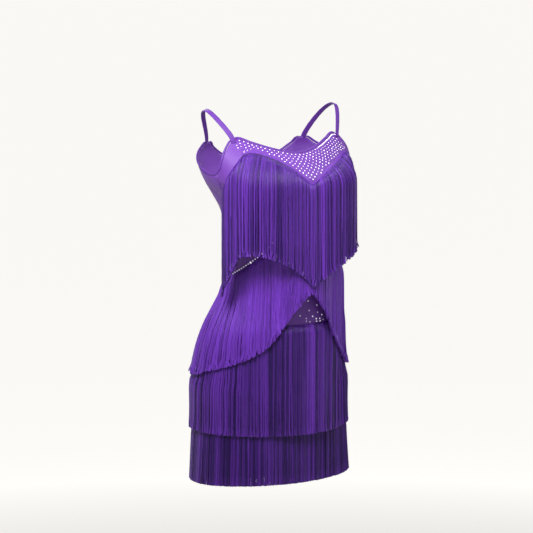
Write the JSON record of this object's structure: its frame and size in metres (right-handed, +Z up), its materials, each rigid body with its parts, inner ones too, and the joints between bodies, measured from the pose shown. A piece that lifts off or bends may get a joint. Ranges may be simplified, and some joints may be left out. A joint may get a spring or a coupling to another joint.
{
  "type": "latin dance dress",
  "caption": "Short sleeveless stretch dress with thin shoulder straps, a stone-studded V yoke and tiers of long hanging fringe, in its hollow worn shape.",
  "frame": {"origin": "on the wearer's midline, level with the tops of the two shoulder straps and between them, where the shoulders hold the dress up", "axes": "+Z up, -Y out of the dress's front, +X towards the wearer's left"},
  "size_m": [0.3609, 0.2996, 0.7834],
  "materials": {
    "cloth": "smooth stretch knit with a soft sheen, purple",
    "heading": "flat woven rayon tape, purple",
    "fringe": "silky rayon chainette cords hanging side by side, deep purple"
  },
  "bodies": {
    "root": {"front_panel": "cloth", "back_panel": "cloth", "strap_left": "cloth", "strap_right": "cloth", "neck_binding_front": "cloth", "neck_binding_back": "cloth", "armhole_binding_left": "cloth", "armhole_binding_right": "cloth", "bodice_fringe_heading": "heading", "bodice_fringe": "fringe", "peplum_fringe_heading": "heading", "peplum_fringe": "fringe", "skirt_fringe_heading": "heading", "skirt_fringe": "fringe", "hem_fringe_heading": "heading", "hem_fringe": "fringe"}
  },
  "joints": []
}
